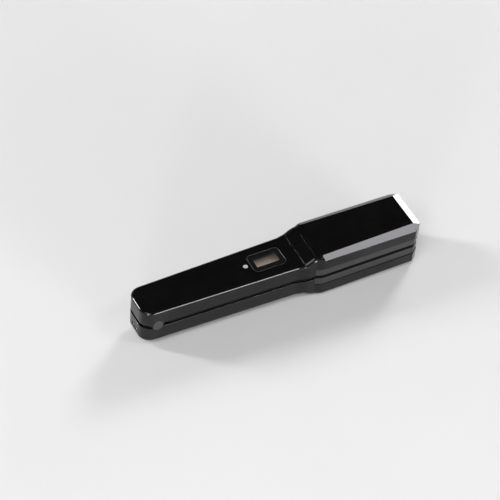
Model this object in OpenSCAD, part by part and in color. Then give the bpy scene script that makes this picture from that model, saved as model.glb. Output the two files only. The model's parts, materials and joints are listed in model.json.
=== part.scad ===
// Cordless hair straightener (flat iron): two hinged arms with floating heated plates.
// X runs from the rear end to the tip, Y across, Z up. The origin is under the middle of the closed iron.
// The upper arm's pieces are drawn about the hinge axis's plane, and the lower arm mirrors most of them.

/* [Overall] */
// Length of the iron, from the rear end to the tip
length = 230; // [226:1:250]
// Thickness of the closed head, both arms together
head_thick = 40; // [39:0.5:44]
// Thickness of the closed handle, both arms together
handle_thick = 30; // [29.5:0.5:33]
// Gap between the facing sides of the closed arms
arm_gap = 3; // [2.8:0.1:3.4]

/* [Handle] */
// Width at the rear end, before its corners are rounded
rear_w = 29.2; // [29:0.1:31]
// Width where the neck starts to widen
neck_w = 34.8; // [34:0.1:37]
// Corner radius of the rear end, in plan
rear_corner_r = 9; // [6:0.5:9]
// Radius of the handle's long edges
edge_r = 2; // [1.8:0.1:2.6]
// Wall of the handle shells and the collars
wall = 1.6; // [1.4:0.05:1.7]
// Thickness of the inner covers
cover_t = 1.6; // [1.4:0.1:1.7]

/* [Neck and head] */
// Width of the head
head_w = 42.8; // [41:0.2:46]
// Length of the collar between handle and head
collar_len = 8.8; // [8:0.2:10]
// Distance from the head's seam back to where the neck starts to widen
neck_len = 16; // [15:0.5:17]
// Width of the collar
collar_w = 39; // [38:0.2:40.4]
// Length over which the handle widens to the collar
widen_len = 11; // [9:0.5:12]
// Length over which the top rises from the handle to the head
rise_len = 13; // [11:0.5:14]
// How far that rise runs past the head's seam
rise_past = 1; // [0.5:0.25:2]
// Radius of the neck's rounded shoulders
shoulder_r = 4.1; // [3.4:0.1:4.4]
// Length over which the handle's edges grow into the shoulders
shoulder_len = 5; // [4:0.5:6]
// Distance from the head's seam to the rear end of its side bevels
bevel_start = 6; // [5:0.5:8]
// Length over which the shoulders turn into the side bevels
bevel_lead = 1.5; // [1:0.1:2]
// Width of the head's flat top at the rear end of its side bevels
top_rear_w = 34.6; // [33:0.1:36]
// Width of the head's flat top at its front end
top_front_w = 31.5; // [29:0.1:33]
// Drop of the side bevel at its rear end
bevel_rear_drop = 2.6; // [2:0.1:3]
// Drop of the side bevel at the head's front end
bevel_front_drop = 3.9; // [3:0.1:4.5]
// Length of the sloping end of the head's top
end_bevel_len = 5.6; // [4:0.2:7]
// Drop of the sloping end
end_bevel_drop = 1.4; // [1:0.1:2]
// Width of the tip between its cut corners
tip_w = 33.2; // [30:0.2:36]
// Edge break round the tip
tip_break = 0.4; // [0.3:0.05:0.6]
// Wall of the head covers
head_wall = 1.8; // [1.5:0.1:2]

/* [Display] */
// Length of the display's frame
display_l = 27.2; // [25:0.2:28]
// Width of the display's frame
display_w = 18.1; // [16:0.1:19]
// Corner radius of the display's frame
display_r = 4; // [3:0.1:5]
// Distance from the display's centre forward to the start of the neck
display_set = 16.5; // [16:0.25:19]
// Width of the frame's visible rim
rim_w = 0.9; // [0.7:0.1:1.1]
// How far the frame's seat reaches past its rim, inside and out
seat_w = 1.4; // [1:0.1:1.5]
// Thickness of the frame's seat
seat_t = 1; // [0.8:0.1:1.1]
// Thickness of the display window
window_t = 1.4; // [1.1:0.1:1.5]
// Length of the liquid crystal cell
lcd_l = 24; // [22:0.5:26]
// Width of the liquid crystal cell
lcd_w = 14; // [12:0.5:15]
// Thickness of the liquid crystal cell
lcd_t = 1.6; // [1.4:0.1:1.8]
// Diameter of the indicator lens
led_d = 3.5; // [3:0.1:4]
// Distance from the indicator's centre to the display's frame
led_set = 3.8; // [3.4:0.1:4.2]

/* [Boards] */
// Thickness of the circuit boards
board_t = 1; // [0.8:0.1:1.2]
// Length of the display board and the power board
board_l = 30.5; // [28:0.5:31]
// Width of the display board and the power board
board_w = 26.4; // [24:0.2:27]
// Length of each board's narrow tongue
tongue_l = 5; // [4.5:0.1:5.2]
// Width of each board's narrow tongue
tongue_w = 10; // [8:0.5:11]
// Diameter of the posts that hold the boards
post_d = 2.4; // [2:0.1:2.6]
// Side of a chip on the power board
chip_l = 5; // [4:0.5:6]
// Height of a chip on the boards
chip_t = 1.5; // [1:0.1:1.6]
// Diameter and height of a capacitor on the power board
capacitor_d = 5; // [4:0.5:5.5]

/* [Buttons] */
// Diameter of the power button
power_d = 6.4; // [5.5:0.1:6.6]
// Diameter of the plus and minus buttons
step_d = 5.2; // [4.5:0.1:6]
// Distance between neighbouring buttons
button_pitch = 10; // [9.5:0.1:10.5]
// How far a button stands proud of the inner cover
button_proud = 0.5; // [0.3:0.1:0.7]
// Travel of a button
button_travel = 0.5; // [0.3:0.05:0.5]
// Side of a tact switch
tact_w = 6; // [5:0.5:6.5]
// Height of a tact switch's case
tact_h = 3.5; // [3:0.1:3.5]
// Height of a tact switch's plunger
plunger_h = 1.2; // [1:0.1:1.3]

/* [Hinge] */
// Distance from the rear end to the hinge axis
hinge_x = 12; // [11:0.25:12]
// Diameter of the hinge pin
pin_d = 4; // [3.5:0.1:4.4]
// Wall of the hinge bushes
bush_wall = 1; // [0.8:0.1:1.1]
// Outer diameter of the hinge's knuckles and ears
knuckle_d = 9; // [8.6:0.1:9.4]
// Width of one upper knuckle
knuckle_w = 4; // [3.5:0.1:4.2]
// Width of one lower ear
ear_w = 3.2; // [2.8:0.1:3.2]
// Distance between the two upper knuckles
knuckle_gap = 10.4; // [10.2:0.1:10.6]
// Gap between a knuckle and the ear beside it
ear_gap = 0.3; // [0.2:0.05:0.4]
// Diameter of the caps over the pin's ends
cap_d = 9; // [8:0.1:9.4]
// Thickness of the hinge brackets' base plates
base_t = 1.1; // [1:0.05:1.2]
// Length of a bracket forward of the hinge axis
bracket_l = 7.2; // [7:0.1:7.6]
// Wire diameter of the opening spring
torsion_wire_d = 1.2; // [1:0.05:1.3]
// Turns of the opening spring, besides the half turn to its legs
torsion_turns = 5; // [4:1:5]

/* [Lock] */
// Distance from the hinge axis to the lock's post
lock_set = 13.5; // [13:0.25:14]
// Thickness of the lock's post
lock_post_l = 3; // [2.5:0.1:3.2]
// Width of the lock's post
lock_post_w = 4; // [3:0.1:4.5]
// How far the lock's hook reaches past its post
hook_l = 3.2; // [2.8:0.1:3.4]
// Thickness of the hook
hook_t = 1.4; // [1.2:0.1:1.6]
// Travel of the lock
lock_travel = 4; // [3:0.25:4]
// Length of the lock's thumb piece
thumb_l = 14; // [13:0.5:15]
// Width of the lock's thumb piece
thumb_w = 10; // [8:0.5:11]
// Height of the lock's thumb piece
thumb_t = 1.1; // [0.9:0.1:1.5]

/* [Plates and heaters] */
// Length of a heated plate's working face
plate_l = 70; // [66:0.5:71]
// Width of a heated plate's working face
plate_w = 28; // [26:0.5:29]
// Distance from the plate's front end to the tip
plate_set = 8; // [7.8:0.1:9]
// Distance from the head's seam to the plate's rear end
plate_rear = 12; // [11.8:0.1:14]
// How far a plate floats into its arm
plate_travel = 1; // [0.6:0.1:1.2]
// Distance from the middle plane to a plate's working face
plate_gap = 0.1; // [0.1:0.05:0.3]
// Edge chamfer of a plate's working face
plate_chamfer = 0.8; // [0.5:0.1:1]
// Thickness of a plate's working slab
plate_t = 3.7; // [3.5:0.1:3.9]
// How far a plate's flange reaches past its working face
flange_w = 1.5; // [1.2:0.1:1.7]
// Thickness of a plate's flange
flange_t = 2; // [1.8:0.1:2.2]
// Height of the plate carrier's side band
carrier_h = 6.4; // [6.2:0.1:6.8]
// Step between the head cover's side and the plate carrier's
carrier_step = 0.5; // [0.3:0.1:0.8]
// Length of a ceramic heater
heater_l = 58; // [54:0.5:60]
// Width of a ceramic heater
heater_w = 14; // [12:0.5:15]
// Thickness of a ceramic heater
heater_t = 2; // [1.8:0.1:2.2]
// Length of a heater clamp
clamp_l = 54; // [48:0.5:54]
// Thickness of a heater clamp's sheet
clamp_t = 1.2; // [1:0.1:1.4]
// Distance between the two springs of a plate
spring_pitch = 34; // [30:0.5:38]
// Mean diameter of a plate spring
spring_d = 5.2; // [4.8:0.1:5.6]
// Wire diameter of a plate spring
spring_wire_d = 0.8; // [0.7:0.05:0.9]
// Turns of a plate spring
spring_turns = 5; // [4:1:6]
// Diameter of a thermal fuse
fuse_d = 3; // [2.6:0.1:3.2]
// Length of a thermal fuse's case
fuse_l = 9; // [8:0.5:10]

/* [Battery] */
// Width of a battery cell
battery_w = 24; // [22:0.2:24]
// Thickness of a battery cell
battery_t = 8.5; // [8:0.1:9]
// Distance from the hinge axis to the battery cells
battery_set = 24; // [24:0.5:27]
// Gap between a battery cell and the board in front of it
battery_front = 1.3; // [1.2:0.1:2]
// Gap between a battery cell and the inner cover
battery_lift = 0.5; // [0.3:0.1:0.6]

/* [Charging socket] */
// Width of the charging socket
socket_w = 8.9; // [8.6:0.1:9.1]
// Height of the charging socket
socket_h = 3.2; // [3.1:0.05:3.3]
// Length of the charging socket
socket_l = 7.3; // [7:0.1:7.5]
// Wall of the charging socket's shell
socket_wall = 0.3; // [0.25:0.05:0.35]

/* [Screws] */
// Diameter of a screw's shank
screw_d = 2.2; // [2:0.1:2.4]
// Diameter of a screw's head
screw_head_d = 4; // [3.6:0.1:4.2]
// Height of a screw's head
screw_head_t = 0.9; // [0.8:0.05:1]
// Length of a screw's shank
screw_l = 6; // [5:0.25:7]
// Diameter of the bosses that take the screws
boss_d = 4.4; // [4:0.1:4.6]
// Distance from the hinge axis to the rear pair of shell screws
rear_screw_set = 12; // [12:0.1:12.5]
// Distance from the middle to each rear shell screw
rear_screw_y = 8; // [7.6:0.1:8.2]
// Distance from the boards to the middle pair of shell screws
mid_screw_set = 3.4; // [3:0.1:3.6]
// Distance from the middle to each middle shell screw
mid_screw_y = 9; // [8.6:0.1:9.4]
// Distance from the collar to the front pair of shell screws
front_screw_set = 3.7; // [3:0.1:3.8]
// Distance from the middle to each front shell screw
front_screw_y = 11; // [10:0.1:11.4]
// Distance from the heated plate back to the rear pair of head screws
head_screw_set = 6.5; // [5.8:0.1:7]
// Distance from the middle to each rear head screw
head_screw_y = 11; // [9:0.1:12]
// Distance from the tip to the front pair of head screws
tip_screw_set = 3.9; // [3.8:0.1:4]
// Distance from the middle to each front head screw
tip_screw_y = 9; // [7:0.1:10]

/* [Clearances] */
// Gap between pieces that are fixed together
seat_gap = 0.1; // [0.05:0.01:0.15]
// Gap round a piece that moves
slide_gap = 0.3; // [0.2:0.05:0.35]
// Radial clearance of the hinge pin in its bushes
pin_gap = 0.06; // [0.03:0.01:0.1]

/* [Hidden] */
$fn = 32;
edge_n = 4;                 // facets across a long edge
tube_sides = 8;             // sides of a wire
over = 1;                   // how far a cut runs past what it cuts

face_z = arm_gap / 2;                       // an arm's facing side
head_t = head_thick / 2;                    // one arm of the head
handle_t = handle_thick / 2;                // one arm of the handle
seam_x = length - plate_set - plate_l - plate_rear;     // seam between collar and head
collar_x = seam_x - collar_len;                         // seam between handle and collar
neck_x = seam_x - neck_len;
rise_x = seam_x + rise_past - rise_len;
bevel_x = seam_x + bevel_start;
end_bevel_x = length - end_bevel_len;
end_k = end_bevel_drop / end_bevel_len;                 // slope of the sloping end
corner_k = (head_w - tip_w) / 2 / end_bevel_len;        // slope of the tip's cut corners, in plan
front_run = (head_w - top_front_w) / 2;                 // width of a side bevel at its front end
bevel_out_len = (front_run - tip_break) / (corner_k + end_k * front_run / bevel_front_drop);
ceiling_z = handle_t - wall;                // inside of the handle shell's back
cover_z = face_z + cover_t;                 // inside of the inner cover
carrier_z = face_z + carrier_h;             // seam between plate carrier and head cover

display_x = neck_x - display_set;
led_x = display_x - display_l / 2 - led_set;
window_z = handle_t - window_t;             // underside of the display window
seat_z = window_z - seat_gap;               // top of the frame's seat
lcd_z = seat_z - seat_t - seat_gap;         // top of the liquid crystal cell
board_z = lcd_z - lcd_t - seat_gap;         // outer side of the boards
board_x = display_x - board_l / 2;
tongue_x = board_x - tongue_l;
plunger_z = board_z - board_t - tact_h - plunger_h;

cell_x = hinge_x + battery_set;             // rear end of the battery cells
cell_end_x = tongue_x - battery_front;
cell_z = cover_z + battery_lift;

screw_rows = [[hinge_x + rear_screw_set, rear_screw_y], [board_x - mid_screw_set, mid_screw_y],
              [collar_x - front_screw_set, front_screw_y]];
post_set = 3;
post_x = board_l / 2 - post_set;            // posts from the board's middle
post_y = board_w / 2 - post_d / 2 - seat_gap;

ear_y = knuckle_gap / 2 + knuckle_w + ear_gap;      // inner face of a lower ear
ear_out_y = ear_y + ear_w;
torsion_r = pin_d / 2 + 0.7 + torsion_wire_d / 2;
torsion_half_y = knuckle_gap / 2 - torsion_wire_d / 2 - 0.2;
bar_z = torsion_r + torsion_wire_d / 2 + seat_gap;  // crossbars that the spring's legs bear on
bar_t = 1.4;
bar_l = 2.3;
bracket_end_x = hinge_x + bracket_l;
cover_set = 2.2;
cover_x = bracket_end_x + cover_set;        // rear end of the inner covers
base_z = ceiling_z - seat_gap - base_t;             // inner side of a bracket's base
stake_d = 2;
stake_l = 0.8;                              // how far a stake stands out of the bracket's base
stake_set = 2.2;
stake_in = 0.6;
stake_x = bracket_end_x - stake_set;
ear_stake_y = ear_y + ear_w / 2 - stake_in;

lock_x = hinge_x + lock_set;
hook_z = cover_z + slide_gap;
lock_flange_t = 1;
lock_flange_l = 2.5;                        // how far the lock's flange reaches past its post
lock_flange_w = 2;
rib_pitch = 2;
rib_w = 0.8;
rib_t = 0.4;

plate_x1 = length - plate_set;
plate_x0 = plate_x1 - plate_l;
plate_mid_x = (plate_x0 + plate_x1) / 2;
lip_z = plate_gap + plate_t - slide_gap;            // the carrier's lip under a plate's flange
flange_z = plate_gap + plate_t;
heater_z = flange_z + flange_t + seat_gap;
clamp_z = heater_z + heater_t + seat_gap;
head_ceiling_z = head_t - head_wall;
head_screws = [[plate_x0 - head_screw_set, head_screw_y], [length - tip_screw_set, tip_screw_y]];
lead_y = 4;
lead_d = 1.4;

socket_z = base_z - seat_gap - board_t - seat_gap;  // outer side of the charging socket
socket_tongue_w = 6.6;
socket_tongue_t = 0.7;

// ---- the arm's outside, as functions of the distance from the rear end ----
// i is how far inside that surface a wall's inner side lies

function mix(a, b, u) = a + (b - a) * u;
function clamp01(u) = min(max(u, 0), 1);
function ease(u) = let (c = clamp01(u)) c * c * (3 - 2 * c);
function rise(x) = ease((x - rise_x) / rise_len);
function bevelled(x) = clamp01((x - bevel_x) / bevel_lead + 1);
function along_bevel(x) = clamp01((x - bevel_x) / (end_bevel_x - bevel_x));

// A side bevel keeps its slant past the sloping end's start, until the cut corner has taken it off
function past_bevel(x) = clamp01((x - end_bevel_x) / bevel_out_len);

// What a rounded rear end of radius r takes off at x
function rear_round(x, r, i) = x < r ? (r - i) - sqrt(max(pow(r - i, 2) - pow(r - x, 2), 0)) : 0;

// What a slope that starts at the end bevel takes off at x
function tip_slope(x, k, i) = max(0, k * (x - end_bevel_x) + i * (sqrt(1 + k * k) - 1));

// Half width before the rear end is rounded and the tip's corners are cut
function full_half_w(x) =
    let (handle = mix(rear_w, neck_w, x / neck_x) / 2,
         neck = mix(handle, collar_w / 2, ease((x - neck_x) / widen_len)))
    mix(neck, head_w / 2, ease((x - seam_x) / bevel_start));

function half_w(x, i) =
    full_half_w(x) - i - rear_round(x, rear_corner_r, i) - tip_slope(x, corner_k, i);

function top_z(x, i) =
    mix(handle_t, head_t, rise(x)) - i
    - rear_round(x, edge_r, i) - tip_slope(x, end_k, i);

// Radius of the long edges behind the side bevels
function round_r(x) = mix(edge_r, shoulder_r, ease((x - rise_x) / shoulder_len));

function edge_run(x) =
    let (bevel = (head_w - mix(top_rear_w, top_front_w, along_bevel(x))) / 2)
    mix(mix(round_r(x), bevel, bevelled(x)), tip_break, past_bevel(x));

function edge_drop(x) =
    let (bevel = mix(bevel_rear_drop, bevel_front_drop, along_bevel(x)))
    mix(mix(round_r(x), bevel, bevelled(x)), tip_break, past_bevel(x));

// An edge of run a and drop b, moved i inwards, keeps this much of a
function inset_edge(a, b, i) = max(a - i * (1 + a / b - sqrt(1 + pow(a / b, 2))), 0.2);

function edge_points(x, i, side) =
    let (w = half_w(x, i), t = top_z(x, i), a = edge_run(x), b = edge_drop(x),
         run = inset_edge(a, b, i), drop = inset_edge(b, a, i), q = 1 - bevelled(x))
    [for (k = [0 : edge_n]) let (u = k / edge_n)
        [x, side * (w - run * mix(u, 1 - cos(90 * u), q)), t - drop * (1 - mix(u, sin(90 * u), q))]];

function flip(list) = [for (k = [len(list) - 1 : -1 : 0]) list[k]];

function arm_ring(x, z0, i) = concat(
    [[x, half_w(x, i), z0]], edge_points(x, i, 1),
    flip(edge_points(x, i, -1)), [[x, -half_w(x, i), z0]]);

breaks = concat(
    [for (a = [15 : 15 : 90]) rear_corner_r * (1 - cos(a))],
    [for (k = [1 : 4]) mix(rear_corner_r, neck_x, k / 4)],
    [for (k = [1 : 9]) mix(neck_x, seam_x, k / 9)],
    [for (k = [0 : 2]) mix(seam_x, bevel_x - bevel_lead, k / 2)],
    [bevel_x, end_bevel_x, end_bevel_x + bevel_out_len]);

function stations(x0, x1) = concat([x0], [for (x = breaks) if (x > x0 + 0.2 && x < x1 - 0.2) x], [x1]);

// Half the plan of an arm between x0 and x1, i inside its sides
function plan_side(x0, x1, i) = [for (x = stations(x0, x1)) [x, half_w(x, i)]];

// ---- building blocks ----

// Closed skin through rings of equal count, each counterclockwise seen from the path's front
module skin(rings) {
    n = len(rings[0]);
    m = len(rings);
    faces = concat(
        [[for (k = [0 : n - 1]) k]],
        [[for (k = [n - 1 : -1 : 0]) (m - 1) * n + k]],
        [for (j = [0 : m - 2], k = [0 : n - 1]) [j * n + k, (j + 1) * n + k, (j + 1) * n + (k + 1) % n]],
        [for (j = [0 : m - 2], k = [0 : n - 1]) [j * n + k, (j + 1) * n + (k + 1) % n, j * n + (k + 1) % n]]);
    polyhedron(points = [for (ring = rings) each ring], faces = faces, convexity = 6);
}

module arm_solid(x0, x1, z0, i) {
    skin([for (x = stations(x0, x1)) arm_ring(x, z0, i)]);
}

module plan_plate(x0, x1, i, z0, z1) {
    side = plan_side(x0, x1, i);
    translate([0, 0, z0])
        linear_extrude(z1 - z0)
            polygon(concat([for (p = side) [p[0], -p[1]]], flip(side)));
}

function unit(v) = v / norm(v);

// Round wire along path, with refs[k] a direction across the path at each point
module wire(path, refs, d, sides) {
    last = len(path) - 1;
    skin([for (k = [0 : last])
        let (t = unit(path[min(k + 1, last)] - path[max(k - 1, 0)]),
             v = unit(cross(t, refs[k])), u = cross(v, t))
        [for (a = [0 : 360 / sides : 359]) path[k] + d / 2 * (cos(a) * u + sin(a) * v)]]);
}

module block(x0, x1, half_y, z0, z1) {
    translate([x0, -half_y, z0]) cube([x1 - x0, 2 * half_y, z1 - z0]);
}

module both_sides(y) {
    for (side = [-1, 1]) translate([0, side * y, 0]) children();
}

module post(x, y, d, z0, z1) {
    translate([x, y, z0]) cylinder(d = d, h = z1 - z0);
}

module across(x, z, d, y0, y1) {
    translate([x, y0, z]) rotate([-90, 0, 0]) cylinder(d = d, h = y1 - y0);
}

module round_plate(l, w, r, z0, z1) {
    translate([display_x, 0, z0]) linear_extrude(z1 - z0) {
        square([l - 2 * r, w], center = true);
        square([l, w - 2 * r], center = true);
        for (sx = [-1, 1], sy = [-1, 1])
            translate([sx * (l / 2 - r), sy * (w / 2 - r)]) circle(r);
    }
}

module lower() { mirror([0, 0, 1]) children(); }

module in_frame() { translate([-length / 2, 0, head_t]) children(); }

// ---- shells ----

module screw_bosses(rows, z0, z1) {
    for (p = rows) both_sides(p[1]) post(p[0], 0, boss_d, z0, z1);
}

module screw_bores(rows, z0) {
    for (p = rows) both_sides(p[1])
        post(p[0], 0, screw_d + seat_gap, z0 - over, z0 + screw_l + seat_gap);
}

module handle_shell(stake_y, notch_gap) {
    difference() {
        union() {
            difference() {
                arm_solid(0, collar_x, face_z, 0);
                arm_solid(wall, collar_x + over, face_z - over, wall);
            }
            screw_bosses(screw_rows, cover_z + seat_gap, ceiling_z + wall / 2);
            for (sx = [-1, 1]) both_sides(post_y)
                post(display_x + sx * post_x, 0, post_d, board_z + seat_gap, ceiling_z + wall / 2);
            both_sides(stake_y)
                post(stake_x, 0, stake_d, base_z - stake_l, ceiling_z + wall / 2);
        }
        screw_bores(screw_rows, cover_z);
        across(hinge_x, 0, cap_d + 2 * notch_gap, -rear_w, rear_w);
    }
}

module upper_handle_shell() color("#0b0b0c") difference() {
    handle_shell(knuckle_gap / 2 + knuckle_w / 2, slide_gap);
    round_plate(display_l, display_w, display_r, ceiling_z - over, handle_t + over);
    post(led_x, 0, led_d + 2 * seat_gap, ceiling_z - over, handle_t + over);
}

module lower_handle_shell() color("#0b0b0c") difference() {
    handle_shell(ear_stake_y, seat_gap);
    lock_slot(slide_gap, ceiling_z - over, handle_t + over);
    translate([-over, 0, socket_z - socket_h / 2]) socket_outline(2 * seat_gap, wall + 2 * over);
}

module neck_collar() color("#101011") difference() {
    arm_solid(collar_x, seam_x, face_z, 0);
    arm_solid(collar_x - over, seam_x + over, face_z - over, wall);
}

module head_cover() color("#0a0a0b") difference() {
    union() {
        difference() {
            arm_solid(seam_x, length, carrier_z, 0);
            arm_solid(seam_x - over, length - head_wall, carrier_z - over, head_wall);
        }
        screw_bosses(head_screws, carrier_z + seat_gap, head_ceiling_z + head_wall / 3);
        for (sx = [-1, 1])
            post(plate_mid_x + sx * spring_pitch / 2, 0, spring_d - spring_wire_d - 2 * slide_gap,
                 (clamp_z + head_ceiling_z) / 2, head_ceiling_z + head_wall / 2);
    }
    screw_bores(head_screws, carrier_z);
}

module inner_cover() {
    difference() {
        plan_plate(cover_x, seam_x, wall + seat_gap, face_z, cover_z);
        for (p = screw_rows) both_sides(p[1]) {
            post(p[0], 0, screw_d + 2 * seat_gap, face_z - over, cover_z + over);
            post(p[0], 0, screw_head_d + 2 * seat_gap, face_z - over, face_z + screw_head_t + seat_gap);
        }
    }
}

// The slot that the lock's post runs in, from its rear end to its locked place
module lock_slot(gap, z0, z1) {
    block(lock_x - lock_post_l / 2 - gap, lock_x + lock_post_l / 2 + lock_travel + gap,
          lock_post_w / 2 + gap, z0, z1);
}

module upper_inner_cover() color("#121213") difference() {
    inner_cover();
    lock_slot(slide_gap + 0.2, face_z - over, cover_z + over);
    for (k = [-1 : 1])
        post(display_x + k * button_pitch, 0, (k == 0 ? power_d : step_d) + slide_gap,
             face_z - over, cover_z + over);
}

module lower_inner_cover() color("#121213") difference() {
    inner_cover();
    lock_slot(slide_gap, face_z - over, cover_z + over);
}

module plate_carrier() color("#161617") difference() {
    plan_plate(seam_x, length - carrier_step, carrier_step, face_z, carrier_z);
    block(plate_x0 - slide_gap, plate_x1 + slide_gap, plate_w / 2 + slide_gap, 0, carrier_z + over);
    block(plate_x0 - flange_w - slide_gap, plate_x1 + flange_w + slide_gap,
          plate_w / 2 + flange_w + slide_gap, lip_z, carrier_z + over);
    for (p = head_screws) both_sides(p[1]) {
        post(p[0], 0, screw_d + 2 * seat_gap, 0, carrier_z + over);
        post(p[0], 0, screw_head_d + 2 * seat_gap, 0, carrier_z - screw_l / 2 + seat_gap);
    }
}

// ---- display, buttons and boards ----

module display_bezel() color("#8d8f93") difference() {
    union() {
        round_plate(display_l - 2 * seat_gap, display_w - 2 * seat_gap, display_r - seat_gap,
                    seat_z - seat_t, handle_t);
        round_plate(display_l + 2 * seat_w, display_w + 2 * seat_w, display_r + seat_w,
                    seat_z - seat_t, min(seat_z, ceiling_z - seat_gap));
    }
    round_plate(display_l - 2 * rim_w, display_w - 2 * rim_w, display_r - rim_w, seat_z, handle_t + over);
    round_plate(display_l - 2 * rim_w - 2 * seat_w, display_w - 2 * rim_w - 2 * seat_w,
                display_r - rim_w - seat_w, seat_z - seat_t - over, handle_t);
}

module display_window() color("#3a3b3e", 0.6)
    round_plate(display_l - 2 * rim_w - 2 * seat_gap, display_w - 2 * rim_w - 2 * seat_gap,
                display_r - rim_w - seat_gap, window_z, handle_t);

module lcd_module() color("#b9ada3")
    block(display_x - lcd_l / 2, display_x + lcd_l / 2, lcd_w / 2, lcd_z - lcd_t, lcd_z);

module led_lens() color("#f4f5f2") {
    post(led_x, 0, led_d, ceiling_z - 0.5, handle_t);
    post(led_x, 0, led_d - 1, board_z + seat_gap, ceiling_z - 0.5);
}

module board() {
    block(board_x, board_x + board_l, board_w / 2, board_z - board_t, board_z);
    block(tongue_x, board_x, tongue_w / 2, board_z - board_t, board_z);
}

module display_board() color("#14532d") {
    board();
    block(display_x + button_pitch + tact_w / 2 + slide_gap, board_x + board_l, lead_y + lead_d,
          board_z - board_t - chip_t, board_z - board_t);
}

module power_board() color("#14532d") lower() {
    board();
    for (k = [-1 : 1])
        translate([display_x + k * board_l / 4 - chip_l / 2, board_w / 8, board_z - board_t - chip_t])
            cube([chip_l, chip_l, chip_t]);
    for (k = [-1, 1])
        post(display_x + k * board_l / 5, -board_w / 4, capacitor_d, board_z - board_t - capacitor_d,
             board_z - board_t);
}

module tact_switches() color("#2b2b2e")
    for (k = [-1 : 1]) translate([display_x + k * button_pitch, 0, 0]) {
        block(-tact_w / 2, tact_w / 2, tact_w / 2, board_z - board_t - seat_gap - tact_h, board_z - board_t - seat_gap);
        post(0, 0, 3.5, plunger_z, board_z - board_t - seat_gap - tact_h);
    }

module button(k, d) {
    translate([display_x + k * button_pitch, 0, 0]) {
        post(0, 0, d, face_z - button_proud, cover_z + slide_gap);
        post(0, 0, d + 1.6, cover_z + slide_gap, cover_z + slide_gap + 0.6);
        post(0, 0, 2.4, cover_z + slide_gap, plunger_z - button_travel - seat_gap);
    }
}

module power_button() color("#1d1d1f") button(0, power_d);
module plus_button() color("#1d1d1f") button(1, step_d);
module minus_button() color("#1d1d1f") button(-1, step_d);

module battery_cell() color("#9aa3ad") {
    block(cell_x, cell_end_x, battery_w / 2, cell_z, cell_z + battery_t);
    for (side = [-1, 1])
        translate([cell_end_x, side * 3.5 - 1, cell_z + battery_t / 2]) cube([1, 2, 0.4]);
}

// ---- screws and leads ----

module screw(p, z_head, shank) {
    both_sides(p[1]) {
        post(p[0], 0, screw_head_d, z_head - screw_head_t, z_head);
        post(p[0], 0, screw_d, z_head, z_head + shank);
    }
}

module shell_screws() color("#8a8f96")
    for (p = screw_rows) screw(p, face_z + screw_head_t + seat_gap / 2, cover_z - face_z + screw_l - 1.2);

module head_screw_set() color("#8a8f96")
    for (p = head_screws) screw(p, carrier_z - screw_l / 2, 1.4 * screw_l);

module lead_wires() color("#b23a2e") {
    x0 = board_x + board_l + slide_gap;
    x1 = plate_mid_x - heater_l / 2 - lead_d / 3;
    bend = 3 * lead_d;
    z0 = board_z - board_t / 2;
    z1 = flange_z + flange_t + plate_travel + slide_gap + lead_d / 2;
    high = carrier_z + lead_d;
    path = [[x0, 0, z0], [x0 + bend, 0, z0 - seat_gap], [mix(x0, x1, 0.4), 0, mix(z0, high, 0.7)],
            [plate_x0 - 1.5 * bend, 0, high], [plate_x0, 0, high],
            [x1 - 2 * lead_d, 0, mix(high, z1, 0.5)], [x1 - 0.8 * lead_d, 0, z1], [x1, 0, z1]];
    for (side = [-1, 1]) translate([0, side * lead_y, 0])
        wire(path, [for (p = path) [0, 1, 0]], lead_d, tube_sides);
}

// ---- hinge ----

module bracket_cheek(y, w) {
    both_sides(y + w / 2) {
        across(hinge_x, 0, knuckle_d, -w / 2, w / 2);
        translate([hinge_x - knuckle_d / 2, -w / 2, 0]) cube([knuckle_d, w, base_z + base_t / 2]);
        translate([hinge_x, -w / 2, bar_z]) cube([bracket_l, w, base_z + base_t / 2 - bar_z]);
    }
}

module bracket(y, w, base_half_y, stake_y, bore_d) {
    difference() {
        union() {
            bracket_cheek(y, w);
            block(bracket_end_x - bar_l, bracket_end_x, y + w / 2, bar_z, bar_z + bar_t);
            block(hinge_x - knuckle_d / 2, bracket_end_x, base_half_y, base_z, base_z + base_t);
        }
        across(hinge_x, 0, bore_d, -rear_w, rear_w);
        both_sides(stake_y) post(stake_x, 0, stake_d + 2 * seat_gap, base_z - over, base_z + base_t + over);
    }
}

module upper_hinge_bracket() color("#6f757c")
    difference() {
        bracket(knuckle_gap / 2, knuckle_w, knuckle_gap / 2 + knuckle_w, knuckle_gap / 2 + knuckle_w / 2,
                pin_d + 2 * pin_gap + 2 * bush_wall + seat_gap);
        both_sides(knuckle_gap / 2 + knuckle_w / 2)
            post(stake_x, 0, stake_d + 2 * seat_gap, base_z - 1.5 * stake_l, base_z + over);
    }

module lower_hinge_bracket() color("#6f757c") lower()
    difference() {
        bracket(ear_y, ear_w, ear_out_y - 0.7, ear_stake_y, pin_d + seat_gap / 2);
        both_sides(ear_stake_y)
            post(stake_x, 0, stake_d + 2 * seat_gap, base_z - 1.5 * stake_l, base_z + over);
    }

module hinge_bushes() color("#c79a4b") both_sides(knuckle_gap / 2 + knuckle_w / 2)
    difference() {
        across(hinge_x, 0, pin_d + 2 * pin_gap + 2 * bush_wall, -knuckle_w / 2, knuckle_w / 2);
        across(hinge_x, 0, pin_d + 2 * pin_gap, -knuckle_w, knuckle_w);
    }

module hinge_pin() color("#c9cdd2") across(hinge_x, 0, pin_d, -ear_out_y, ear_out_y);

module hinge_caps() color("#1a1a1b")
    for (side = [0, 1]) mirror([0, side, 0])
        across(hinge_x, 0, cap_d, ear_out_y + seat_gap, half_w(hinge_x, 0));

// Direction out of the opening spring's coil after k of n steps a turn, from its lowest point
function spin(k, n) = [-cos(90 + 360 * k / n), 0, -sin(90 + 360 * k / n)];

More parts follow.
